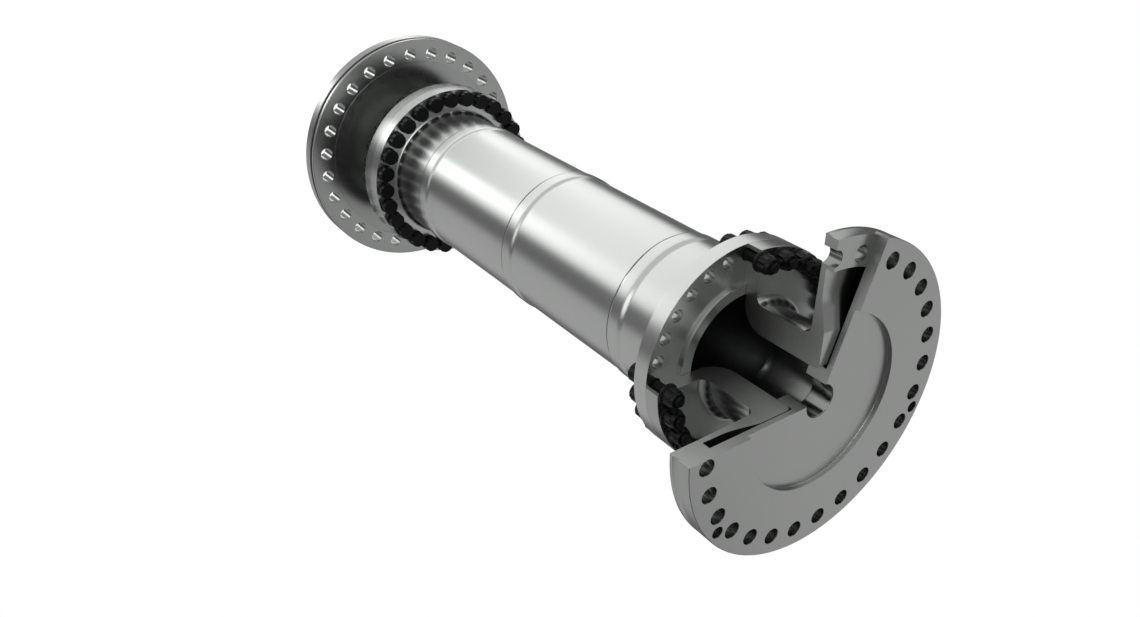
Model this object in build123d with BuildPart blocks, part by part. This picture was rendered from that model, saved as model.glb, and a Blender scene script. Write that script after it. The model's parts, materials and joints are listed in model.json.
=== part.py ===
from build123d import *
import os
from math import radians, tan

# Diaphragm coupling, in millimetres. The shaft axis is X, the origin lies on it at mid-length and Z is up.
# The front end faces +X and carries a display cutaway. Both ends are built alike, each from its own end
# face inwards: depths are measured behind that face, and angles from +Z, clockwise seen from outside.

# Overall
overall_length = 855
flange_diameter = 340
edge_break = 0.8
selection_tolerance = 0.001

# End plates, each with a lip at its edge that fits over the diaphragm unit's rim
plate_thickness = 11.5
plate_recess_diameter = 191
plate_recess_depth = 5.5
plate_bore_diameter = 35
plate_bore_chamfer = 1
lip_thickness = 2
lip_length = 3.5
lip_clearance = 0.1
spigot_length = 20
spigot_clearance = 0.15
spigot_chamfer = 1.5

# Bolt holes for the machine hubs, and the tapped jacking holes between two of them
outer_edge_distance = 21
outer_hole_diameter = 17.5
outer_hole_count = 27
jacking_edge_distance = 11
jacking_hole_diameter = 12.5
jacking_hole_count = 3

# Diaphragm units
rim_thickness = 15
rim_land = 13
rim_step_length = 5.5
rim_taper_length = 5.5
web_thickness_at_rim = 5.5
web_taper_angle = 1.2
web_contour_run = 33
web_contour_radius = 60
hub_face_gap = 1
hub_face_diameter = 144
hub_diameter = 127
hub_bore_diameter = 63
hub_bore_mouth_radius = 6
hub_bore_flare_radius = 26.5
hub_web_fillet = 9
hub_flange_fillet = 10
diaphragm_length = 107

# Bolted joints between the diaphragm units and the spacer
inner_flange_thickness = 18.5
spacer_flange_thickness = 18.5
inner_edge_distance = 11.5
pilot_diameter = 160
pilot_height = 3.5
pilot_clearance = 0.1
pilot_end_gap = 0.3

# Spacer
tube_diameter = 178
tube_wall = 10
spacer_mouth_diameter = 135
spacer_mouth_taper = 40
neck_fillet = 5
weld_band_height = 1.5
weld_band_width = 23
weld_band_shoulder = 2.5
end_band_distance = 95.7

# Fasteners
bolt_count = 28
bolt_diameter = 12
bolt_hole_clearance = 1
bolt_protrusion = 3.5
collar_diameter = 22.5
head_room = 5.75
head_points_diameter = 22
head_height = 12
head_collar_height = 2.5
nut_points_diameter = 20
nut_height = 17.5
nut_collar_height = 3
thread_clearance = 0.05

# Cutaway of the front end
cutaway_start_angle = -89.8
plate_cutaway_end_angle = 19
diaphragm_cutaway_end_angle = 0

# Radii
flange_radius = flange_diameter / 2
outer_circle_radius = flange_radius - outer_edge_distance
jacking_circle_radius = flange_radius - jacking_edge_distance
rim_bore_radius = outer_circle_radius - rim_land
hub_radius = hub_diameter / 2
hub_bore_radius = hub_bore_diameter / 2
hub_face_radius = hub_face_diameter / 2
spigot_radius = hub_bore_radius - spigot_clearance
lip_bore_radius = flange_radius - lip_thickness
rim_step_radius = lip_bore_radius - lip_clearance
contour_radius_position = hub_face_radius + web_contour_run
tube_radius = tube_diameter / 2
tube_bore_radius = tube_radius - tube_wall
weld_band_radius = tube_radius + weld_band_height
mouth_radius = spacer_mouth_diameter / 2
bolt_radius = bolt_diameter / 2
bolt_circle_radius = tube_radius + neck_fillet + head_room + collar_diameter / 2
inner_flange_radius = bolt_circle_radius + inner_edge_distance
pilot_radius = pilot_diameter / 2 - pilot_clearance
pilot_recess_radius = pilot_diameter / 2

# Depths behind an end face
hub_face = plate_thickness + hub_face_gap
rim_back = plate_thickness + rim_thickness
rim_step = plate_thickness + rim_step_length
web_front_at_rim = rim_back - web_thickness_at_rim
web_slope = tan(radians(web_taper_angle))
contour_depth = web_front_at_rim - web_slope * (rim_bore_radius - contour_radius_position)
web_back_at_hub = rim_back + web_slope * (rim_bore_radius - hub_radius)
joint_face = plate_thickness + diaphragm_length
nut_seat = joint_face - inner_flange_thickness
pilot_recess_floor = joint_face - pilot_height - pilot_end_gap
head_seat = joint_face + spacer_flange_thickness
end_band_centre = joint_face + end_band_distance
mid_length = overall_length / 2
bolt_length = head_seat - nut_seat + nut_height + bolt_protrusion

# Angles between holes, and the number of bolts that the cutaway leaves at the front
outer_hole_pitch_angle = 360 / outer_hole_count
bolt_pitch_angle = 360 / bolt_count
front_bolt_count = int((360 + cutaway_start_angle) / bolt_pitch_angle) + 1

# Each end face as a plane: its normal points into the coupling and its local x axis up
end_faces = {
    "front": Plane(origin=(mid_length, 0, 0), x_dir=(0, 0, 1), z_dir=(-1, 0, 0)),
    "rear": Plane(origin=(-mid_length, 0, 0), x_dir=(0, 0, 1), z_dir=(1, 0, 0)),
}


def shaft_axis(face):
    """Shaft axis, pointing into the coupling."""
    return Axis(face.origin, face.z_dir)


def section_plane(face, angle=0):
    """Half plane from the shaft axis at an angle: local x is the depth, local y the radius."""
    return Plane(face.origin, x_dir=face.z_dir, z_dir=face.y_dir.rotate(shaft_axis(face), angle))


def kept_sector(end, cutaway_end_angle):
    """Start angle and sweep that an end piece keeps: the cutaway is on the front end alone."""
    if end == "front":
        return cutaway_end_angle, 360 + cutaway_start_angle - cutaway_end_angle
    return 0, 360


def circles_at(piece, radius):
    """Edges of a turned piece that run round the shaft at one radius."""
    circles = piece.edges().filter_by(GeomType.CIRCLE)
    return [edge for edge in circles if abs(edge.radius - radius) < selection_tolerance]


def rounded_outline(*corners):
    """Closed outline through corners given as depth, radius and rounding."""
    points = [corner[:2] for corner in corners]
    roundings = [corner[2] for corner in corners]
    FilletPolyline(points, radius=roundings, close=True)


def twelve_points(points_diameter):
    """Outline of a twelve-point head: two hexagons, half a flat apart."""
    RegularPolygon(points_diameter / 2, 6)
    RegularPolygon(points_diameter / 2, 6, rotation=30)


def make_end_plate(end):
    """Disc that bolts to the machine hub, with its spigot standing free inside the diaphragm's hub."""
    face = end_faces[end]
    start, sweep = kept_sector(end, plate_cutaway_end_angle)
    with BuildPart() as end_plate:
        with BuildSketch(section_plane(face, start)):
            with BuildLine():
                Polyline(
                    (plate_recess_depth, plate_bore_diameter / 2),
                    (plate_recess_depth, plate_recess_diameter / 2),
                    (0, plate_recess_diameter / 2),
                    (0, flange_radius),
                    (plate_thickness + lip_length, flange_radius),
                    (plate_thickness + lip_length, lip_bore_radius),
                    (plate_thickness, lip_bore_radius),
                    (plate_thickness, spigot_radius),
                    (plate_thickness + spigot_length - spigot_chamfer, spigot_radius),
                    (plate_thickness + spigot_length, spigot_radius - spigot_chamfer),
                    (plate_thickness + spigot_length, plate_bore_diameter / 2),
                    close=True,
                )
            make_face()
        revolve(axis=shaft_axis(face), revolution_arc=sweep)
        chamfer(circles_at(end_plate, flange_radius), edge_break)
        chamfer(circles_at(end_plate, plate_bore_diameter / 2), plate_bore_chamfer)
        with BuildSketch(face):
            with PolarLocations(outer_circle_radius, outer_hole_count):
                Circle(outer_hole_diameter / 2)
            with PolarLocations(jacking_circle_radius, jacking_hole_count, -outer_hole_pitch_angle / 2):
                Circle(jacking_hole_diameter / 2)
        extrude(amount=plate_thickness, mode=Mode.SUBTRACT)
    end_plate.part.label = f"{end}_end_plate"
    export_step(end_plate.part, f"parts/{end}_end_plate.step")


def make_diaphragm(end):
    """Flexing unit turned from one forging: rim, thin contoured web, bored hub and inner flange."""
    face = end_faces[end]
    start, sweep = kept_sector(end, diaphragm_cutaway_end_angle)
    with BuildPart() as diaphragm:
        with BuildSketch(section_plane(face, start)):
            with BuildLine():
                rounded_outline(
                    (plate_thickness, rim_step_radius, 0),
                    (rim_step, rim_step_radius, 0),
                    (rim_step + rim_taper_length, flange_radius, 0),
                    (rim_back - edge_break, flange_radius, 0),
                    (rim_back, flange_radius - edge_break, 0),
                    (rim_back, rim_bore_radius, 0),
                    (web_back_at_hub, hub_radius, hub_web_fillet),
                    (nut_seat, hub_radius, hub_flange_fillet),
                    (nut_seat, inner_flange_radius, 0),
                    (joint_face, inner_flange_radius, 0),
                    (joint_face, pilot_recess_radius, 0),
                    (pilot_recess_floor, pilot_recess_radius, 0),
                    (pilot_recess_floor, hub_bore_radius, hub_bore_flare_radius),
                    (hub_face, hub_bore_radius, hub_bore_mouth_radius),
                    (hub_face, hub_face_radius, 0),
                    (contour_depth, contour_radius_position, web_contour_radius),
                    (web_front_at_rim, rim_bore_radius, 0),
                    (plate_thickness, rim_bore_radius, 0),
                )
            make_face()
        revolve(axis=shaft_axis(face), revolution_arc=sweep)
        chamfer(circles_at(diaphragm, inner_flange_radius), edge_break)
        with BuildSketch(face.offset(plate_thickness)):
            with PolarLocations(outer_circle_radius, outer_hole_count):
                Circle(outer_hole_diameter / 2)
        extrude(amount=rim_thickness, mode=Mode.SUBTRACT)
        with BuildSketch(face.offset(nut_seat)):
            with PolarLocations(bolt_circle_radius, bolt_count):
                Circle(bolt_radius + bolt_hole_clearance)
        extrude(amount=inner_flange_thickness, mode=Mode.SUBTRACT)
    diaphragm.part.label = f"{end}_diaphragm"
    export_step(diaphragm.part, f"parts/{end}_diaphragm.step")


def make_spacer_flange(end):
    """Flanged end of the spacer, from its pilot ring to the middle of the first weld band."""
    face = end_faces[end]
    with BuildPart() as spacer_flange:
        with BuildSketch(section_plane(face)):
            with BuildLine():
                rounded_outline(
                    (joint_face - pilot_height, mouth_radius, 0),
                    (joint_face - pilot_height, pilot_radius, 0),
                    (joint_face, pilot_radius, 0),
                    (joint_face, inner_flange_radius, 0),
                    (head_seat, inner_flange_radius, 0),
                    (head_seat, tube_radius, neck_fillet),
                    (end_band_centre - weld_band_width / 2, tube_radius, 0),
                    (end_band_centre - weld_band_width / 2 + weld_band_shoulder, weld_band_radius, 0),
                    (end_band_centre, weld_band_radius, 0),
                    (end_band_centre, tube_bore_radius, 0),
                    (head_seat + spacer_mouth_taper, tube_bore_radius, 0),
                    (head_seat, mouth_radius, 0),
                )
            make_face()
        revolve(axis=shaft_axis(face))
        chamfer(circles_at(spacer_flange, inner_flange_radius), edge_break)
        with BuildSketch(face.offset(joint_face)):
            with PolarLocations(bolt_circle_radius, bolt_count):
                Circle(bolt_radius + bolt_hole_clearance)
        extrude(amount=spacer_flange_thickness, mode=Mode.SUBTRACT)
    spacer_flange.part.label = f"spacer_{end}_flange"
    export_step(spacer_flange.part, f"parts/spacer_{end}_flange.step")


def make_spacer_tube(end):
    """Half of the spacer's tube, between the middles of two weld bands."""
    face = end_faces[end]
    with BuildPart() as spacer_tube:
        with BuildSketch(section_plane(face)):
            with BuildLine():
                Polyline(
                    (end_band_centre, tube_bore_radius),
                    (end_band_centre, weld_band_radius),
                    (end_band_centre + weld_band_width / 2 - weld_band_shoulder, weld_band_radius),
                    (end_band_centre + weld_band_width / 2, tube_radius),
                    (mid_length - weld_band_width / 2, tube_radius),
                    (mid_length - weld_band_width / 2 + weld_band_shoulder, weld_band_radius),
                    (mid_length, weld_band_radius),
                    (mid_length, tube_bore_radius),
                    close=True,
                )
            make_face()
        revolve(axis=shaft_axis(face))
    spacer_tube.part.label = f"spacer_{end}_tube"
    export_step(spacer_tube.part, f"parts/spacer_{end}_tube.step")


def make_bolts(name, face, start_angle, count):
    """Twelve-point collar bolts, their heads on the spacer's flange and their ends beyond the nuts."""
    with BuildPart() as bolts:
        with BuildSketch(face.offset(head_seat)):
            with PolarLocations(bolt_circle_radius, count, start_angle):
                Circle(bolt_radius)
        extrude(amount=-bolt_length)
        with BuildSketch(face.offset(head_seat)):
            with PolarLocations(bolt_circle_radius, count, start_angle):
                Circle(collar_diameter / 2)
        extrude(amount=head_collar_height)
        with BuildSketch(face.offset(head_seat + head_collar_height)):
            with PolarLocations(bolt_circle_radius, count, start_angle):
                twelve_points(head_points_diameter)
        extrude(amount=head_height - head_collar_height)
    bolts.part.label = name
    export_step(bolts.part, f"parts/{name}.step")


def make_nuts(name, face, start_angle, count):
    """Tall twelve-point collar nuts on the diaphragm's inner flange."""
    with BuildPart() as nuts:
        with BuildSketch(face.offset(nut_seat)):
            with PolarLocations(bolt_circle_radius, count, start_angle):
                Circle(collar_diameter / 2)
        extrude(amount=-nut_collar_height)
        with BuildSketch(face.offset(nut_seat - nut_collar_height)):
            with PolarLocations(bolt_circle_radius, count, start_angle):
                twelve_points(nut_points_diameter)
        extrude(amount=nut_collar_height - nut_height)
        with BuildSketch(face.offset(nut_seat)):
            with PolarLocations(bolt_circle_radius, count, start_angle):
                Circle(bolt_radius + thread_clearance)
        extrude(amount=-nut_height, mode=Mode.SUBTRACT)
    nuts.part.label = name
    export_step(nuts.part, f"parts/{name}.step")


os.makedirs("parts", exist_ok=True)
for end_name in end_faces:
    make_end_plate(end_name)
    make_diaphragm(end_name)
    make_spacer_flange(end_name)
    make_spacer_tube(end_name)

# The cutaway leaves six places of the front joint empty: the rest are filled from the top round to it
for number in range(front_bolt_count):
    make_bolts(f"front_bolt_{number + 1:02d}", end_faces["front"], number * bolt_pitch_angle, 1)
    make_nuts(f"front_nut_{number + 1:02d}", end_faces["front"], number * bolt_pitch_angle, 1)
make_bolts("rear_bolts", end_faces["rear"], 0, bolt_count)
make_nuts("rear_nuts", end_faces["rear"], 0, bolt_count)
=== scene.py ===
import bpy
import json
from math import ceil, cos, degrees, pi, radians, sin, tan
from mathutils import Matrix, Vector


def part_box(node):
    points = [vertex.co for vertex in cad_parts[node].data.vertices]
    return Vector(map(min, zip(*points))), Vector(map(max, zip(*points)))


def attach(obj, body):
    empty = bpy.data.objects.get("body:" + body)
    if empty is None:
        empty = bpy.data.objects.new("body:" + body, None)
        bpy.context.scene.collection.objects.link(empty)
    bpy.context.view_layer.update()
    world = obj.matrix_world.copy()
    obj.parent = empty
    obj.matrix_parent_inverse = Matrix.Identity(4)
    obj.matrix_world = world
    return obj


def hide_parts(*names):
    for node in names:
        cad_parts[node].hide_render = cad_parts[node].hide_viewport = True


# Diaphragm coupling on a white studio floor, at the photograph's angle. The shaft axis is X, with the
# cutaway at the +X end. Sizes are in millimetres, as in the part: depths are measured behind an end
# face, radii from the shaft axis, and angles from the top, clockwise seen from outside the front end.
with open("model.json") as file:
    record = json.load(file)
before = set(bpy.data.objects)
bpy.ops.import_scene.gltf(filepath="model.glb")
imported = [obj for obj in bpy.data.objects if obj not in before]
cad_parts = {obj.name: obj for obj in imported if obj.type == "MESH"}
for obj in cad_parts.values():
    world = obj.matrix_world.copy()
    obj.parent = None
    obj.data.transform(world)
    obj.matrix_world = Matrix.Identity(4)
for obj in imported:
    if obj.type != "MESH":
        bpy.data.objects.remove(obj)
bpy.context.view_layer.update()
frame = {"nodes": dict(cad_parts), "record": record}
mm = 0.001
front, rear = 1, -1

# Sizes that the frame gives
rear_plate_low, rear_plate_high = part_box("rear_end_plate")
rear_diaphragm_low, rear_diaphragm_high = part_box("rear_diaphragm")
rear_flange_low, rear_flange_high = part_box("spacer_rear_flange")
rear_nuts_low, rear_nuts_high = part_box("rear_nuts")
rear_bolts_low, rear_bolts_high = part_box("rear_bolts")
flange_bolts = frame["record"]["mounts"][0]["dims"]
end_distance = -rear_plate_low.x / mm
flange_radius = rear_plate_high.z / mm
spigot_end = end_distance + rear_plate_high.x / mm
plate_thickness = end_distance + rear_diaphragm_low.x / mm
joint_face = end_distance + rear_diaphragm_high.x / mm
pilot_end = end_distance + rear_flange_low.x / mm
end_band_centre = end_distance + rear_flange_high.x / mm
inner_flange_radius = rear_flange_high.z / mm
bolt_end = end_distance + rear_bolts_low.x / mm
head_top = end_distance + rear_bolts_high.x / mm
nut_top = end_distance + rear_nuts_low.x / mm
nut_seat = end_distance + rear_nuts_high.x / mm
outer_circle_radius = flange_bolts["pcd_mm"] / 2
outer_hole_radius = flange_bolts["hole_r_mm"]
outer_hole_count = flange_bolts["count"]
front_bolt_names = sorted(name for name in frame["nodes"] if name.startswith("front_bolt_"))
front_nut_names = sorted(name for name in frame["nodes"] if name.startswith("front_nut_"))

# End plates
recess_radius = 95.5
recess_depth = 5.5
plate_bore_radius = 17.5
plate_bore_rounding = 1.2
lip_bore_radius = 168
lip_end = plate_thickness + 3.5
spigot_radius = 31.35
spigot_rounding = 1.5
jacking_circle_radius = 159
jacking_hole_radius = 6.25
jacking_hole_count = 3

# Diaphragm units
rim_back = 26.5
rim_bore_radius = 136
rim_step = 17
rim_step_radius = 167.9
rim_taper_end = 22.5
crease_width = 1
crease_depth = 1
web_front_at_rim = 21
web_slope = tan(radians(1.2))
hub_face = 12.5
hub_face_radius = 72
contour_start_radius = 105
contour_rounding = 60
hub_radius = 63.5
hub_bore_radius = 31.5
hub_bore_mouth_rounding = 6
hub_bore_flare_rounding = 26.5
hub_web_rounding = 9
hub_flange_rounding = 10
pilot_recess_radius = 80
pilot_recess_floor = 114.7
contour_depth = web_front_at_rim - web_slope * (rim_bore_radius - contour_start_radius)
web_back_at_hub = rim_back + web_slope * (rim_bore_radius - hub_radius)

# Spacer
head_seat = 137
pilot_radius = 79.9
mouth_radius = 67.5
mouth_taper = 40
tube_radius = 89
tube_bore_radius = 79
neck_rounding = 5
band_radius = 90.5
band_half_width = 11.5
rear_shoulder = 2.5
front_shoulder = 5
rear_shoulder_rounding = 2
front_shoulder_rounding = 12
groove_width = 0.9
groove_depth = 1.5

# Fasteners
bolt_circle_radius = 111
bolt_count = 28
bolt_hole_radius = 7
collar_radius = 11.25
collar_rounding = 0.7
collar_slope_height = 2
head_collar_height = 2.5
head_points_radius = 11
head_top_radius = 9.9
head_points_overlap = 0.5
head_crown_start = 1.6
head_crown_length = 1.4
nut_collar_height = 2.6
nut_points_radius = 10
nut_flute_length = 9.5
nut_neck_radius = 9
nut_end_radius = 8.2
nut_mouth_radius = 6.6
nut_bore_radius = 6.15
nut_neck_length = 2
nut_neck_rounding = 1.5
nut_end_rounding = 1
nut_mouth_rounding = 0.3
nut_mouth_length = 2.5
nut_bore_length = 6
crown_margin = 1
shank_radius = 6
thread_core_radius = 5.1
thread_end = 119
thread_chamfer = 1
thread_runout = 1.5
ridge_sink = 0.2
thread_steps = 16
point_valley_share = cos(radians(30)) / cos(radians(15))
# The exposed thread is drawn at 2.6 mm, the spacing at which the photograph shows its crests
thread_pitch = 2.6

# Small edges, cutters and the steps of a full turn
edge_rounding = 0.8
fine_rounding = 0.4
hole_chamfer = 0.5
hole_burr = 0.15
joint_rounding = 0.2
cutter_margin = 2
large_rounding = 2
small_rounding_segments = 3
degrees_a_segment = 10
merge_distance = 0.001
same_place = 0.01
cut_tolerance = 0.02
flat_share = 0.99
smooth_angle = 30
turn_steps = 216
hole_steps = 32
collar_steps = 32

# Finishes: sizes of the marks in each, and the range that most of a noise's values lie in
patch_width = 12
grain_width = 1
roughness_spread = 0.012
tint_spread = 0.015
streak_length = 20
streak_width = 0.7
streak_height = 0.0008
streak_tint = 0.03
section_roughness_low = 0.34
section_roughness_high = 0.4
spot_width = 3
oxide_roughness_low = 0.34
oxide_roughness_high = 0.42
noise_low = 0.3
noise_high = 0.7
quarter_turn = 0.25

# Camera, and the studio: brightness of the unlit room, and how soft the edges of the lights are
camera_place = (0.9185, -0.6426, 0.5447)
camera_drop = 29.70
camera_turn = 54.81
lens_length = 31.178
sensor_width = 36
floor_size = 40
studio_brightness = 3
dim_room = 0.04
panel_edge = 9
panel_end = 0.05
lamp_core = 0.985

# Cutaway of the front end, in degrees
cutaway_start_angle = -89.8
plate_cutaway_end_angle = 19
diaphragm_cutaway_end_angle = 0


def linear(hex_colour):
    """Linear colour of an sRGB hex value."""
    shares = [int(hex_colour[place:place + 2], 16) / 255 for place in (1, 3, 5)]
    light = [share / 12.92 if share <= 0.04045 else ((share + 0.055) / 1.055) ** 2.4 for share in shares]
    return light + [1]


def add(tree, kind, settings=None, links=None):
    """Adds a node: settings are its properties or socket values, and links give a socket's source."""
    node = tree.nodes.new(kind)
    for key, value in (settings or {}).items():
        if isinstance(key, str) and hasattr(node, key):
            setattr(node, key, value)
        else:
            node.inputs[key].default_value = value
    for key, source in (links or {}).items():
        tree.links.new(source, node.inputs[key])
    return node


def new_material(name):
    """Empty material: its node tree and its output node."""
    material = bpy.data.materials.new(name)
    material.use_nodes = True
    material.node_tree.nodes.clear()
    return material, material.node_tree, add(material.node_tree, "ShaderNodeOutputMaterial")


def turned_coordinates(tree):
    """Place along the shaft and distance from it, in millimetres: a lathe's tool marks follow these two."""
    place = add(tree, "ShaderNodeTexCoord").outputs["Object"]
    axial = add(tree, "ShaderNodeVectorMath", {"operation": "MULTIPLY", 1: (1 / mm, 0, 0)}, {0: place})
    across = add(tree, "ShaderNodeVectorMath", {"operation": "MULTIPLY", 1: (0, 1 / mm, 1 / mm)}, {0: place})
    radius = add(tree, "ShaderNodeVectorMath", {"operation": "LENGTH"}, {0: across.outputs["Vector"]})
    raised = add(tree, "ShaderNodeCombineXYZ", {}, {"Y": radius.outputs["Value"]})
    marks = add(
        tree, "ShaderNodeVectorMath", {"operation": "ADD"},
        {0: axial.outputs["Vector"], 1: raised.outputs["Vector"]},
    )
    return place, marks.outputs["Vector"]


def turned_steel(name, colour, roughness, anisotropy, mark_spacing, mark_height):
    """Lathe-turned alloy steel: a satin grey metal whose fine rings stretch each highlight across them."""
    material, tree, output = new_material(name)
    place, marks = turned_coordinates(tree)
    rings = add(tree, "ShaderNodeTexNoise", {"Scale": 1 / mark_spacing, "Detail": 3}, {"Vector": marks})
    # Handling and cleaning leave wide soft patches, and between them the metal has a fine grain
    patches, grain = [
        add(tree, "ShaderNodeTexNoise", {"Scale": 1 / (width * mm), "Detail": 2}, {"Vector": place})
        for width in (patch_width, grain_width)
    ]
    worn = add(
        tree, "ShaderNodeMix", {"data_type": "FLOAT", "Factor": 0.5},
        {"A": patches.outputs["Fac"], "B": grain.outputs["Fac"]},
    )
    dull = add(
        tree, "ShaderNodeMapRange",
        {
            "From Min": noise_low, "From Max": noise_high,
            "To Min": roughness - roughness_spread, "To Max": roughness + roughness_spread,
        },
        {"Value": worn.outputs["Result"]},
    )
    tint = add(
        tree, "ShaderNodeMapRange",
        {"From Min": noise_low, "From Max": noise_high, "To Min": 1 - tint_spread, "To Max": 1 + tint_spread},
        {"Value": worn.outputs["Result"]},
    )
    shade = add(
        tree, "ShaderNodeMix",
        {"data_type": "RGBA", "blend_type": "MULTIPLY", "Factor": 1, "A": linear(colour)},
        {"B": tint.outputs["Result"]},
    )
    bump = add(
        tree, "ShaderNodeBump", {"Strength": 1, "Distance": mark_height * mm},
        {"Height": rings.outputs["Fac"]},
    )
    tangent = add(tree, "ShaderNodeTangent", {"direction_type": "RADIAL", "axis": "X"})
    shader = add(
        tree, "ShaderNodeBsdfPrincipled",
        {"Metallic": 1, "Anisotropic": anisotropy, "Anisotropic Rotation": quarter_turn},
        {
            "Base Color": shade.outputs["Result"], "Roughness": dull.outputs["Result"],
            "Normal": bump.outputs["Normal"], "Tangent": tangent.outputs["Tangent"],
        },
    )
    tree.links.new(shader.outputs["BSDF"], output.inputs["Surface"])
    return material


def milled_section_steel():
    """Section through forged steel, milled along the shaft: brighter streaks on a satin ground."""
    material, tree, output = new_material("milled_section_steel")
    place = add(tree, "ShaderNodeTexCoord").outputs["Object"]
    # Long narrow tool marks, drawn a little coarser than a real finishing cut
    across = 1 / (streak_width * mm)
    streaked = add(
        tree, "ShaderNodeVectorMath",
        {"operation": "MULTIPLY", 1: (1 / (streak_length * mm), across, across)}, {0: place},
    )
    streaks = add(
        tree, "ShaderNodeTexNoise", {"Scale": 1, "Detail": 2}, {"Vector": streaked.outputs["Vector"]}
    )
    dull = add(
        tree, "ShaderNodeMapRange",
        {
            "From Min": noise_low, "From Max": noise_high,
            "To Min": section_roughness_low, "To Max": section_roughness_high,
        },
        {"Value": streaks.outputs["Fac"]},
    )
    tint = add(
        tree, "ShaderNodeMapRange",
        {
            "From Min": noise_low, "From Max": noise_high,
            "To Min": 1 - streak_tint, "To Max": 1 + streak_tint,
        },
        {"Value": streaks.outputs["Fac"]},
    )
    shade = add(
        tree, "ShaderNodeMix",
        {"data_type": "RGBA", "blend_type": "MULTIPLY", "Factor": 1, "A": linear("#bec0be")},
        {"B": tint.outputs["Result"]},
    )
    bump = add(
        tree, "ShaderNodeBump", {"Strength": 1, "Distance": streak_height * mm},
        {"Height": streaks.outputs["Fac"]},
    )
    shader = add(
        tree, "ShaderNodeBsdfPrincipled", {"Metallic": 1},
        {
            "Base Color": shade.outputs["Result"], "Roughness": dull.outputs["Result"],
            "Normal": bump.outputs["Normal"],
        },
    )
    tree.links.new(shader.outputs["BSDF"], output.inputs["Surface"])
    return material


def black_oxide():
    """Black oxide on alloy steel fasteners: a thin magnetite film, near black with an oily sheen."""
    material, tree, output = new_material("black_oxide")
    place = add(tree, "ShaderNodeTexCoord").outputs["Object"]
    # The film takes unevenly, in small spots
    spots = add(tree, "ShaderNodeTexNoise", {"Scale": 1 / (spot_width * mm), "Detail": 3}, {"Vector": place})
    dull = add(
        tree, "ShaderNodeMapRange",
        {
            "From Min": noise_low, "From Max": noise_high,
            "To Min": oxide_roughness_low, "To Max": oxide_roughness_high,
        },
        {"Value": spots.outputs["Fac"]},
    )
    shade = add(
        tree, "ShaderNodeMix", {"data_type": "RGBA", "A": linear("#101112"), "B": linear("#1a1b1c")},
        {"Factor": spots.outputs["Fac"]},
    )
    shader = add(
        tree, "ShaderNodeBsdfPrincipled", {"Metallic": 0.6},
        {"Base Color": shade.outputs["Result"], "Roughness": dull.outputs["Result"]},
    )
    tree.links.new(shader.outputs["BSDF"], output.inputs["Surface"])
    return material


def select_only(piece):
    """Leaves one piece selected and active."""
    bpy.ops.object.select_all(action="DESELECT")
    piece.select_set(True)
    bpy.context.view_layer.objects.active = piece


def edit(piece):
    """Opens a piece for editing with nothing selected in it."""
    if bpy.context.mode != "OBJECT":
        bpy.ops.object.mode_set(mode="OBJECT")
    select_only(piece)
    bpy.ops.object.mode_set(mode="EDIT")
    bpy.ops.mesh.select_mode(type="VERT")
    bpy.ops.mesh.select_all(action="DESELECT")


def select_points(piece, wanted):
    """Selects, in edit mode, the points that a test picks by index and place."""
    bpy.ops.mesh.select_all(action="DESELECT")
    bpy.ops.object.mode_set(mode="OBJECT")
    for point in piece.data.vertices:
        point.select = wanted(point.index, point.co)
    bpy.ops.object.mode_set(mode="EDIT")


def finish_edit():
    """Leaves edit mode after merging doubled points and turning every face outwards."""
    bpy.ops.mesh.select_all(action="SELECT")
    bpy.ops.mesh.remove_doubles(threshold=merge_distance * mm)
    bpy.ops.mesh.normals_make_consistent(inside=False)
    bpy.ops.object.mode_set(mode="OBJECT")


def place_in_mesh(piece):
    """Puts a piece's place and turn into its mesh, so that its object sits at the origin, unturned."""
    select_only(piece)
    bpy.ops.object.transform_apply(location=True, rotation=True, scale=True)


def turn_about_shaft(piece, angle):
    """Turns a finished piece about the shaft, by degrees from the top towards +Y."""
    piece.rotation_euler.x = -radians(angle)
    place_in_mesh(piece)


def join(name, *pieces):
    """Joins pieces into the first of them."""
    bpy.ops.object.select_all(action="DESELECT")
    for piece in pieces:
        piece.select_set(True)
    bpy.context.view_layer.objects.active = pieces[0]
    bpy.ops.object.join()
    pieces[0].name = name
    return pieces[0]


def copy(piece, name):
    """Copy of a piece with a mesh of its own."""
    twin = piece.copy()
    twin.data = piece.data.copy()
    twin.name = name
    bpy.context.scene.collection.objects.link(twin)
    return twin


def ring_of(piece, count, angle):
    """Repeats a piece's mesh at even places round the shaft."""
    edit(piece)
    bpy.ops.mesh.select_all(action="SELECT")
    bpy.ops.mesh.spin(
        steps=count - 1, dupli=True, angle=angle * (count - 1), center=(0, 0, 0), axis=(1, 0, 0)
    )
    bpy.ops.object.mode_set(mode="OBJECT")


def corner_turn(before, corner, after):
    """Angle by which an outline turns at a corner."""
    coming = corner - before
    going = after - corner
    return coming.angle(going)


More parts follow.
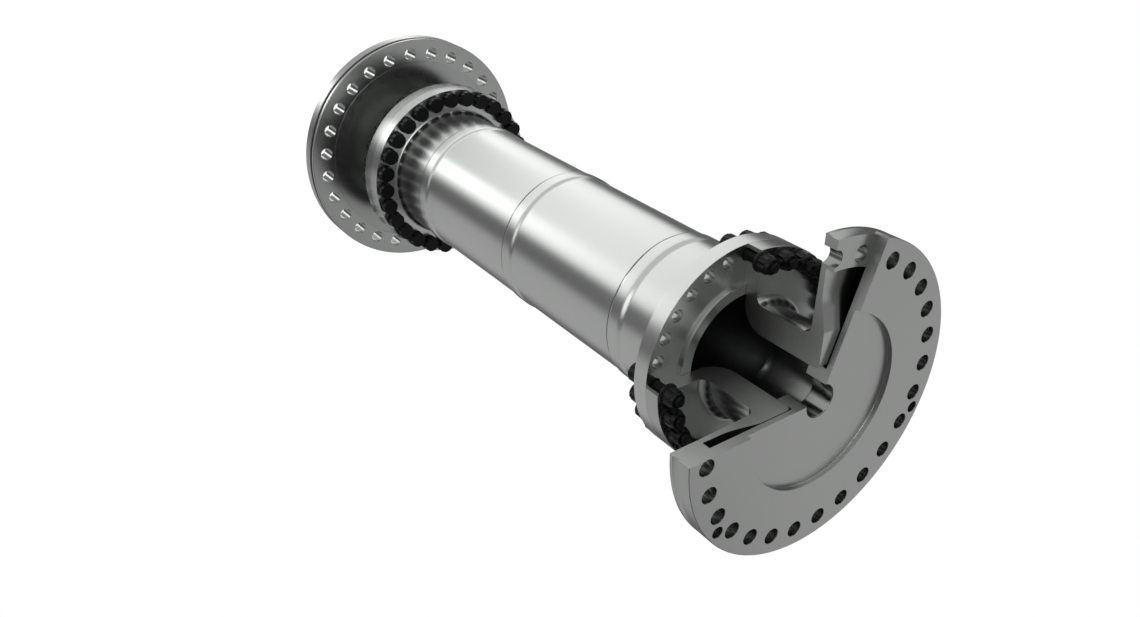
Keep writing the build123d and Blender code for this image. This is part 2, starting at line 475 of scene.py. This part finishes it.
def draw_outline(name, corners):
    """Closed outline above the shaft, through corners given as x, radius and rounding."""
    points = [Vector((x, 0, radius)) * mm for x, radius, rounding in corners]
    bpy.ops.object.select_all(action="DESELECT")
    bpy.ops.mesh.primitive_circle_add(
        vertices=len(corners), radius=mm, fill_type="NGON", rotation=(pi / 2, 0, 0)
    )
    outline = bpy.context.object
    outline.name = name
    place_in_mesh(outline)
    edit(outline)
    starts = [point.co.copy() for point in outline.data.vertices]
    for number, point in enumerate(points):
        select_points(outline, lambda index, place: index == number)
        bpy.ops.transform.translate(value=point - starts[number])
    for number, (x, radius, rounding) in enumerate(corners):
        if rounding:
            turn = corner_turn(points[number - 1], points[number], points[(number + 1) % len(points)])
            select_points(outline, lambda index, place: (place - points[number]).length < same_place * mm)
            segments = small_rounding_segments
            if rounding > large_rounding:
                segments = max(2, ceil(degrees(turn) / degrees_a_segment))
            bpy.ops.mesh.bevel(
                offset_type="OFFSET", offset=rounding * mm * tan(turn / 2), affect="VERTICES",
                segments=segments,
            )
    bpy.ops.mesh.select_all(action="SELECT")
    bpy.ops.mesh.delete(type="ONLY_FACE")
    return outline


def cut_face_direction(angle):
    """Outward radius and tangent of a cut face at an angle."""
    outward = Vector((0, sin(radians(angle)), cos(radians(angle))))
    tangent = Vector((0, cos(radians(angle)), -sin(radians(angle))))
    return outward, tangent


def lies_on_cut(place, angle):
    """Whether a place lies on the half plane from the shaft at an angle."""
    outward, tangent = cut_face_direction(angle)
    return abs(place.dot(tangent)) < cut_tolerance * mm and place.dot(outward) > 0


def turned(name, corners, steps=turn_steps, start=0, sweep=360):
    """Piece spun about the shaft from its outline; a piece that is cut away is closed at both faces."""
    piece = draw_outline(name, corners)
    bpy.ops.object.mode_set(mode="OBJECT")
    turn_about_shaft(piece, start)
    edit(piece)
    bpy.ops.mesh.select_all(action="SELECT")
    bpy.ops.mesh.spin(
        steps=ceil(steps * sweep / 360), angle=radians(sweep), center=(0, 0, 0), axis=(1, 0, 0)
    )
    if sweep < 360:
        for angle in (start, start + sweep):
            select_points(piece, lambda index, place: lies_on_cut(place, angle))
            bpy.ops.mesh.edge_face_add()
    finish_edit()
    return piece


def end_corners(end, corners):
    """Corners whose depths behind an end face become places along the shaft."""
    return [(end * (end_distance - depth), radius, rounding) for depth, radius, rounding in corners]


def band_edge_corners(edge, inwards, end):
    """A weld band's edge at a depth: a soft shoulder in front, a shoulder and an undercut behind."""
    if inwards == end:
        corners = [
            (edge, tube_radius, front_shoulder_rounding),
            (edge + inwards * front_shoulder, band_radius, front_shoulder_rounding),
        ]
    else:
        corners = [
            (edge - inwards * groove_width, tube_radius, 0),
            (edge - inwards * groove_width, tube_radius - groove_depth, 0),
            (edge, tube_radius - groove_depth, 0),
            (edge, tube_radius, 0),
            (edge + inwards * rear_shoulder, band_radius, rear_shoulder_rounding),
        ]
    return corners[::inwards]


def combine(piece, cutter, operation):
    """Cuts a cutter's shape out of a piece, or keeps what lies inside it, with the cutter's material."""
    select_only(piece)
    modifier = piece.modifiers.new("cut", "BOOLEAN")
    modifier.operation = operation
    modifier.solver = "EXACT"
    modifier.material_mode = "TRANSFER"
    modifier.object = cutter
    bpy.ops.object.modifier_apply(modifier=modifier.name)
    bpy.data.objects.remove(cutter)


def drill(piece, end, near, far, radius, circle_radius, count, first_angle=0, chamfer=hole_burr):
    """Drills a circle of chamfered holes between two depths and gives their walls a reamer's finish."""
    flared = radius + chamfer + cutter_margin
    cutter = turned("drill", end_corners(end, [
        (near - cutter_margin, 0, 0),
        (near - cutter_margin, flared, 0),
        (near + chamfer, radius, 0),
        (far - chamfer, radius, 0),
        (far + cutter_margin, flared, 0),
        (far + cutter_margin, 0, 0),
    ]), hole_steps)
    cutter.data.materials.append(reamed_steel)
    cutter.location.z = circle_radius * mm
    place_in_mesh(cutter)
    turn_about_shaft(cutter, first_angle)
    ring_of(cutter, count, 2 * pi / count)
    combine(piece, cutter, "DIFFERENCE")


def finish_piece(piece, nodes, body, cut_angles=()):
    """Gives a piece its cut faces' steel, smooth faces and body, and hides the nodes it replaces."""
    if cut_angles:
        piece.data.materials.append(section_steel)
    for face in piece.data.polygons:
        for angle in cut_angles:
            outward, tangent = cut_face_direction(angle)
            if abs(face.normal.dot(tangent)) > flat_share and lies_on_cut(face.center, angle):
                face.material_index = len(piece.data.materials) - 1
    select_only(piece)
    bpy.ops.object.shade_smooth_by_angle(angle=radians(smooth_angle))
    # Flats and bores keep their own shading up to their small roundings
    weighted = piece.modifiers.new("flats", "WEIGHTED_NORMAL")
    weighted.weight = 100
    weighted.keep_sharp = True
    bpy.ops.object.modifier_apply(modifier=weighted.name)
    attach(piece, body)
    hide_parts(*nodes)


def make_end_plate(end, node, body):
    """End plate with recess, centre hole and spigot, drilled for the machine's bolts and jacking screws."""
    cut_angles = (plate_cutaway_end_angle, 360 + cutaway_start_angle) if end == front else ()
    start = plate_cutaway_end_angle if end == front else 0
    sweep = cut_angles[1] - cut_angles[0] if end == front else 360
    plate = turned(node + "_turned", end_corners(end, [
        (recess_depth, plate_bore_radius, plate_bore_rounding),
        (recess_depth, recess_radius, edge_rounding),
        (0, recess_radius, fine_rounding),
        (0, flange_radius, edge_rounding),
        (lip_end, flange_radius, fine_rounding),
        (lip_end, lip_bore_radius, fine_rounding),
        (plate_thickness, lip_bore_radius, 0),
        (plate_thickness, spigot_radius, 0),
        (spigot_end, spigot_radius, spigot_rounding),
        (spigot_end, plate_bore_radius, plate_bore_rounding),
    ]), turn_steps, start, sweep)
    plate.data.materials.append(plate_steel)
    plate.data.materials.append(reamed_steel)
    bore_limit = (plate_bore_radius + plate_bore_rounding) * mm
    for face in plate.data.polygons:
        if Vector((0, face.center.y, face.center.z)).length < bore_limit:
            face.material_index = 1
    half_pitch = end * -180 / outer_hole_count
    drill(
        plate, end, 0, plate_thickness, outer_hole_radius, outer_circle_radius, outer_hole_count,
        chamfer=hole_chamfer,
    )
    drill(
        plate, end, 0, plate_thickness, jacking_hole_radius, jacking_circle_radius, jacking_hole_count,
        half_pitch, hole_chamfer,
    )
    finish_piece(plate, [node], body, cut_angles)


def make_diaphragm(end, node):
    """Flexing unit: rim, thin contoured web, flared hub and the flange that takes the collar bolts."""
    cut_angles = (diaphragm_cutaway_end_angle, 360 + cutaway_start_angle) if end == front else ()
    start = diaphragm_cutaway_end_angle if end == front else 0
    sweep = cut_angles[1] - cut_angles[0] if end == front else 360
    diaphragm = turned(node + "_turned", end_corners(end, [
        (plate_thickness, rim_step_radius, 0),
        (rim_step, rim_step_radius, 0),
        (rim_taper_end, flange_radius, fine_rounding),
        (rim_back, flange_radius, edge_rounding),
        (rim_back, rim_bore_radius + crease_width, 0),
        (rim_back - crease_depth, rim_bore_radius + crease_width, 0),
        (rim_back - crease_depth, rim_bore_radius, 0),
        (rim_back, rim_bore_radius, 0),
        (web_back_at_hub, hub_radius, hub_web_rounding),
        (nut_seat, hub_radius, hub_flange_rounding),
        (nut_seat, inner_flange_radius, edge_rounding),
        (joint_face, inner_flange_radius, joint_rounding),
        (joint_face, pilot_recess_radius, fine_rounding),
        (pilot_recess_floor, pilot_recess_radius, 0),
        (pilot_recess_floor, hub_bore_radius, hub_bore_flare_rounding),
        (hub_face, hub_bore_radius, hub_bore_mouth_rounding),
        (hub_face, hub_face_radius, fine_rounding),
        (contour_depth, contour_start_radius, contour_rounding),
        (web_front_at_rim, rim_bore_radius, edge_rounding),
        (plate_thickness, rim_bore_radius, fine_rounding),
    ]), turn_steps, start, sweep)
    diaphragm.data.materials.append(diaphragm_steel)
    drill(diaphragm, end, plate_thickness, rim_back, outer_hole_radius, outer_circle_radius, outer_hole_count)
    drill(diaphragm, end, nut_seat, joint_face, bolt_hole_radius, bolt_circle_radius, bolt_count)
    finish_piece(diaphragm, [node], "spacer", cut_angles)


def make_spacer_flange(end, node):
    """Flanged end of the spacer, with its pilot ring, neck and half of a weld band."""
    flange = turned(node + "_turned", end_corners(end, [
        (pilot_end, mouth_radius, fine_rounding),
        (pilot_end, pilot_radius, fine_rounding),
        (joint_face, pilot_radius, 0),
        (joint_face, inner_flange_radius, joint_rounding),
        (head_seat, inner_flange_radius, fine_rounding),
        (head_seat, tube_radius, neck_rounding),
        *band_edge_corners(end_band_centre - band_half_width, 1, end),
        (end_band_centre, band_radius, 0),
        (end_band_centre, tube_bore_radius, 0),
        (head_seat + mouth_taper, tube_bore_radius, 0),
        (head_seat, mouth_radius, 0),
    ]))
    flange.data.materials.append(spacer_steel)
    drill(flange, end, joint_face, head_seat, bolt_hole_radius, bolt_circle_radius, bolt_count)
    finish_piece(flange, [node], "spacer")


def make_spacer_tube(end, node):
    """Half of the spacer's tube, between the middles of two weld bands."""
    tube = turned(node + "_turned", end_corners(end, [
        (end_band_centre, tube_bore_radius, 0),
        (end_band_centre, band_radius, 0),
        *band_edge_corners(end_band_centre + band_half_width, -1, end),
        *band_edge_corners(end_distance - band_half_width, 1, end),
        (end_distance, band_radius, 0),
        (end_distance, tube_bore_radius, 0),
    ]))
    tube.data.materials.append(spacer_steel)
    finish_piece(tube, [node], "spacer")


def twelve_point_prism(name, near, far, near_radius, far_radius):
    """Twelve-point prism on the shaft axis between two depths."""
    bpy.ops.object.select_all(action="DESELECT")
    near_end = ((end_distance - near) * mm, 0, 0)
    bpy.ops.mesh.primitive_circle_add(
        vertices=24, radius=near_radius * mm, fill_type="NGON", rotation=(0, pi / 2, 0), location=near_end
    )
    prism = bpy.context.object
    prism.name = name
    place_in_mesh(prism)
    edit(prism)
    select_points(prism, lambda index, place: index % 2 == 1)
    bpy.ops.transform.resize(value=(1, point_valley_share, point_valley_share), center_override=near_end)
    bpy.ops.mesh.select_all(action="SELECT")
    bpy.ops.mesh.extrude_region_move(TRANSFORM_OT_translate={"value": ((near - far) * mm, 0, 0)})
    narrowed = far_radius / near_radius
    bpy.ops.transform.resize(value=(1, narrowed, narrowed), center_override=near_end)
    finish_edit()
    return prism


def thread_ridge(name):
    """Helical thread ridge from the bolt's free end to the joint face."""
    bpy.ops.object.select_all(action="DESELECT")
    bpy.ops.mesh.primitive_circle_add(vertices=3, radius=mm, fill_type="NOTHING", rotation=(pi / 2, 0, 0))
    ridge = bpy.context.object
    ridge.name = name
    place_in_mesh(ridge)
    turns = int((thread_end - bolt_end - thread_runout) / thread_pitch)
    first = end_distance - thread_end
    corners = [
        Vector((first, 0, thread_core_radius - ridge_sink)) * mm,
        Vector((first + thread_pitch / 2, 0, shank_radius)) * mm,
        Vector((first + thread_pitch, 0, thread_core_radius - ridge_sink)) * mm,
    ]
    edit(ridge)
    starts = [point.co.copy() for point in ridge.data.vertices]
    for number, corner in enumerate(corners):
        select_points(ridge, lambda index, place: index == number)
        bpy.ops.transform.translate(value=corner - starts[number])
    bpy.ops.object.mode_set(mode="OBJECT")
    modifier = ridge.modifiers.new("helix", "SCREW")
    modifier.axis = "X"
    modifier.screw_offset = thread_pitch * mm
    modifier.iterations = turns
    modifier.steps = thread_steps
    modifier.render_steps = thread_steps
    bpy.ops.object.modifier_apply(modifier=modifier.name)
    edit(ridge)
    bpy.ops.mesh.select_all(action="SELECT")
    bpy.ops.mesh.fill_holes(sides=3)
    finish_edit()
    return ridge


def make_bolt():
    """Twelve-point collar bolt at the top of the front bolt circle."""
    shank = turned("shank", end_corners(front, [
        (bolt_end, 0, 0),
        (bolt_end, thread_core_radius, edge_rounding),
        (thread_end, thread_core_radius, 0),
        (thread_end + thread_chamfer, shank_radius, 0),
        (head_seat, shank_radius, 0),
        (head_seat, 0, 0),
    ]), collar_steps)
    collar = turned("collar", end_corners(front, [
        (head_seat, 0, 0),
        (head_seat, collar_radius, fine_rounding),
        (head_seat + head_collar_height, collar_radius, collar_rounding),
        (head_seat + head_collar_height, 0, 0),
    ]), collar_steps)
    points = twelve_point_prism(
        "points", head_top, head_seat + head_collar_height - head_points_overlap,
        head_points_radius, head_points_radius,
    )
    crown = turned("crown", end_corners(front, [
        (head_seat, 0, 0),
        (head_seat, head_points_radius + crown_margin, 0),
        (head_top - head_crown_start, head_points_radius + crown_margin, 0),
        (head_top - head_crown_length, head_points_radius, 0),
        (head_top, head_top_radius, fine_rounding),
        (head_top, 0, 0),
    ]), collar_steps)
    combine(points, crown, "INTERSECT")
    bolt = join("bolt", shank, collar, points, thread_ridge("ridge"))
    bolt.location.z = bolt_circle_radius * mm
    place_in_mesh(bolt)
    return bolt


def make_nut():
    """Tall twelve-point collar nut at the top of the front bolt circle, fluted up to a round neck."""
    body_end = nut_seat - nut_collar_height - nut_flute_length
    slope_end = nut_seat - nut_collar_height - collar_slope_height
    collar = turned("collar", end_corners(front, [
        (nut_seat, 0, 0),
        (nut_seat, collar_radius, fine_rounding),
        (nut_seat - nut_collar_height, collar_radius, collar_rounding),
        (slope_end, nut_points_radius * point_valley_share, 0),
        (slope_end, 0, 0),
    ]), collar_steps)
    points = twelve_point_prism(
        "points", nut_seat - nut_collar_height, nut_top, nut_points_radius, nut_points_radius
    )
    crown = turned("crown", end_corners(front, [
        (nut_seat, 0, 0),
        (nut_seat, nut_points_radius + crown_margin, 0),
        (body_end + crown_margin, nut_points_radius + crown_margin, 0),
        (body_end, nut_points_radius, 0),
        (body_end - nut_neck_length, nut_neck_radius, nut_neck_rounding),
        (nut_top, nut_end_radius, nut_end_rounding),
        (nut_top, nut_mouth_radius, nut_mouth_rounding),
        (nut_top + nut_mouth_length, nut_bore_radius, 0),
        (nut_top + nut_bore_length, nut_bore_radius, 0),
        (nut_top + nut_bore_length, 0, 0),
    ]), collar_steps)
    combine(points, crown, "INTERSECT")
    nut = join("nut", collar, points)
    nut.location.z = bolt_circle_radius * mm
    place_in_mesh(nut)
    return nut


def place_fasteners(pattern, front_names, rear_name):
    """Copies a fastener to its places at the front, one a node, and as one ring at the rear."""
    pattern.data.materials.clear()
    pattern.data.materials.append(oxide)
    for number, name in enumerate(front_names):
        fastener = copy(pattern, name + "_detailed")
        turn_about_shaft(fastener, number * 360 / bolt_count)
        finish_piece(fastener, [name], "spacer")
    rear_ring = copy(pattern, rear_name + "_detailed")
    rear_ring.rotation_euler.z = pi
    place_in_mesh(rear_ring)
    ring_of(rear_ring, bolt_count, 2 * pi / bolt_count)
    finish_piece(rear_ring, [rear_name], "spacer")
    bpy.data.objects.remove(pattern)


def soft_panel(tree, angle, along, middle, half_width, begins, ends, brightness):
    """Light of a soft panel that hangs beside the shaft.

    Its middle and half width are degrees round the shaft, from overhead towards +Y. It begins and ends
    along the shaft's direction, between -1 beyond the rear end and 1 beyond the front end.
    """
    turned_from = add(tree, "ShaderNodeMath", {"operation": "SUBTRACT", 1: radians(middle)}, {0: angle})
    wrapped = add(
        tree, "ShaderNodeMath", {"operation": "WRAP", 1: pi, 2: -pi}, {0: turned_from.outputs["Value"]}
    )
    away = add(tree, "ShaderNodeMath", {"operation": "ABSOLUTE"}, {0: wrapped.outputs["Value"]})
    light = add(
        tree, "ShaderNodeMapRange",
        {
            "interpolation_type": "SMOOTHSTEP", "From Min": radians(half_width + panel_edge),
            "From Max": radians(half_width - panel_edge), "To Max": brightness,
        },
        {"Value": away.outputs["Value"]},
    ).outputs["Result"]
    for outside, inside in ((begins - panel_end, begins + panel_end), (ends + panel_end, ends - panel_end)):
        share = add(
            tree, "ShaderNodeMapRange",
            {"interpolation_type": "SMOOTHSTEP", "From Min": outside, "From Max": inside},
            {"Value": along},
        )
        light = add(
            tree, "ShaderNodeMath", {"operation": "MULTIPLY"}, {0: light, 1: share.outputs["Result"]}
        ).outputs["Value"]
    return light


def round_lamp(tree, direction, towards, begins, brightness):
    """Light of a round lamp in a direction, from the cosine at which its edge begins."""
    facing = add(tree, "ShaderNodeVectorMath", {"operation": "DOT_PRODUCT", 1: towards}, {0: direction})
    return add(
        tree, "ShaderNodeMapRange",
        {
            "interpolation_type": "SMOOTHSTEP", "From Min": begins, "From Max": lamp_core,
            "To Max": brightness,
        },
        {"Value": facing.outputs["Value"]},
    ).outputs["Result"]


def make_studio():
    """White floor, lit from below like a light table, under long softboxes that run beside the shaft."""
    bpy.ops.object.select_all(action="DESELECT")
    bpy.ops.mesh.primitive_plane_add(size=floor_size, location=(0, 0, -flange_radius * mm))
    floor = bpy.context.object
    floor.name = "floor"
    material, tree, output = new_material("opal_light_table")
    glow = add(tree, "ShaderNodeEmission", {"Color": linear("#ffffff"), "Strength": 1.0})
    tree.links.new(glow.outputs["Emission"], output.inputs["Surface"])
    floor.data.materials.append(material)
    # The floor is only a white ground: what the steel reflects below it is the dim studio
    floor.visible_glossy = False
    floor.visible_diffuse = False
    floor.visible_shadow = False

    world = bpy.data.worlds.new("studio")
    bpy.context.scene.world = world
    world.use_nodes = True
    tree = world.node_tree
    tree.nodes.clear()
    output = add(tree, "ShaderNodeOutputWorld")
    direction = add(tree, "ShaderNodeTexCoord").outputs["Generated"]
    axes = add(tree, "ShaderNodeSeparateXYZ", {}, {0: direction})
    angle = add(
        tree, "ShaderNodeMath", {"operation": "ARCTAN2"}, {0: axes.outputs["Y"], 1: axes.outputs["Z"]}
    ).outputs["Value"]
    along = axes.outputs["X"]
    lamps = [
        # Two strip lights beyond the rear end, one each side of the shaft
        soft_panel(tree, angle, along, -50, 14, -1.2, -0.84, 1.0),
        soft_panel(tree, angle, along, 60, 16, -1.2, -0.84, 0.6),
        # A broad softbox overhead, and its dimmer front half
        soft_panel(tree, angle, along, 0, 72, -0.84, -0.62, 0.4),
        soft_panel(tree, angle, along, 0, 65, -0.62, 0.6, 0.18),
        # Pale walls low down: at the left, at the right, and beyond the front end
        soft_panel(tree, angle, along, -145, 38, -1.2, -0.1, 0.11),
        soft_panel(tree, angle, along, 125, 15, -1.2, -0.62, 0.15),
        soft_panel(tree, angle, along, 128, 20, 0, 1.2, 0.12),
        # Round lamps that shoulders, fillets and edges catch: beside the object, and beyond its front end
        round_lamp(tree, direction, (-0.15, -0.95, 0.27), 0.93, 0.45),
        round_lamp(tree, direction, (0.985, -0.08, 0.15), 0.95, 0.55),
    ]
    lit = add(tree, "ShaderNodeMath", {"operation": "ADD", 1: dim_room}, {0: lamps[0]}).outputs["Value"]
    for lamp in lamps[1:]:
        lit = add(tree, "ShaderNodeMath", {"operation": "ADD"}, {0: lit, 1: lamp}).outputs["Value"]
    lights = add(tree, "ShaderNodeBackground", {"Strength": studio_brightness}, {"Color": lit})
    plain = add(tree, "ShaderNodeBackground", {"Color": linear("#ffffff"), "Strength": 1.0})
    seen = add(tree, "ShaderNodeLightPath").outputs["Is Camera Ray"]
    mixed = add(
        tree, "ShaderNodeMixShader", {},
        {0: seen, 1: lights.outputs["Background"], 2: plain.outputs["Background"]},
    )
    tree.links.new(mixed.outputs["Shader"], output.inputs["Surface"])
    bpy.context.scene.view_settings.view_transform = "Standard"


def make_camera():
    """Camera at the photograph's place, aimed by its azimuth and elevation."""
    lens_data = bpy.data.cameras.new("camera")
    lens_data.lens = lens_length
    lens_data.sensor_width = sensor_width
    camera = bpy.data.objects.new("camera", lens_data)
    camera.location = camera_place
    camera.rotation_euler = (radians(90 - camera_drop), 0, radians(camera_turn))
    bpy.context.scene.collection.objects.link(camera)
    bpy.context.scene.camera = camera


make_camera()
make_studio()
plate_steel = turned_steel("turned_plate_steel", "#c4c6c4", 0.3, 0.3, 0.8, 0.001)
diaphragm_steel = turned_steel("turned_diaphragm_steel", "#c4c6c4", 0.23, 0.3, 0.8, 0.0006)
spacer_steel = turned_steel("turned_spacer_steel", "#d8dad8", 0.25, 0.5, 0.8, 0.0005)
reamed_steel = turned_steel("reamed_hole_steel", "#a8aaa8", 0.18, 0, 0.8, 0.0001)
section_steel = milled_section_steel()
oxide = black_oxide()
make_end_plate(front, "front_end_plate", "front_end")
make_end_plate(rear, "rear_end_plate", "rear_end")
make_diaphragm(front, "front_diaphragm")
make_diaphragm(rear, "rear_diaphragm")
for end, word in ((front, "front"), (rear, "rear")):
    make_spacer_flange(end, "spacer_" + word + "_flange")
    make_spacer_tube(end, "spacer_" + word + "_tube")
place_fasteners(make_bolt(), front_bolt_names, "rear_bolts")
place_fasteners(make_nut(), front_nut_names, "rear_nuts")
